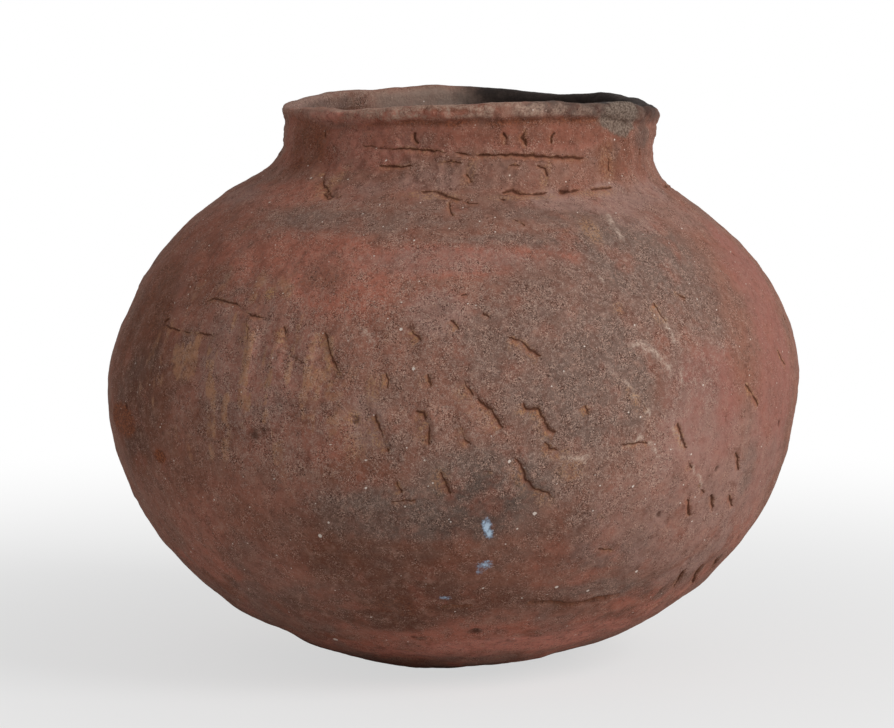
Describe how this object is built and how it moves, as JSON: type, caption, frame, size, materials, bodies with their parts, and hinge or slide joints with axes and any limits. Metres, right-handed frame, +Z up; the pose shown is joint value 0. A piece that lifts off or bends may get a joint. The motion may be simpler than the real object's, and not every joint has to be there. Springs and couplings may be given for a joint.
{
  "type": "earthenware olla",
  "caption": "Round-bellied hand-built earthenware olla with a small flat foot, a short off-centre neck and a rolled lip, for cooking, storing or carrying water.",
  "frame": {"origin": "centre of the flat spot under the base, which is also the centre of the belly seen from above", "axes": "+Z up through the mouth, +X towards the side to which the neck stands off centre, -Y towards the pictured front"},
  "size_m": [0.3, 0.3, 0.245],
  "materials": {
    "fired_clay": "matt unglazed red-brown clay, smoke-clouded"
  },
  "bodies": {
    "root": {"base_bowl": "fired_clay", "lower_wall_coil": "fired_clay", "lower_belly_coil": "fired_clay", "upper_belly_coil": "fired_clay", "lower_shoulder_coil": "fired_clay", "upper_shoulder_coil": "fired_clay", "neck_collar": "fired_clay", "neck_coil": "fired_clay", "rolled_lip": "fired_clay"}
  },
  "joints": []
}
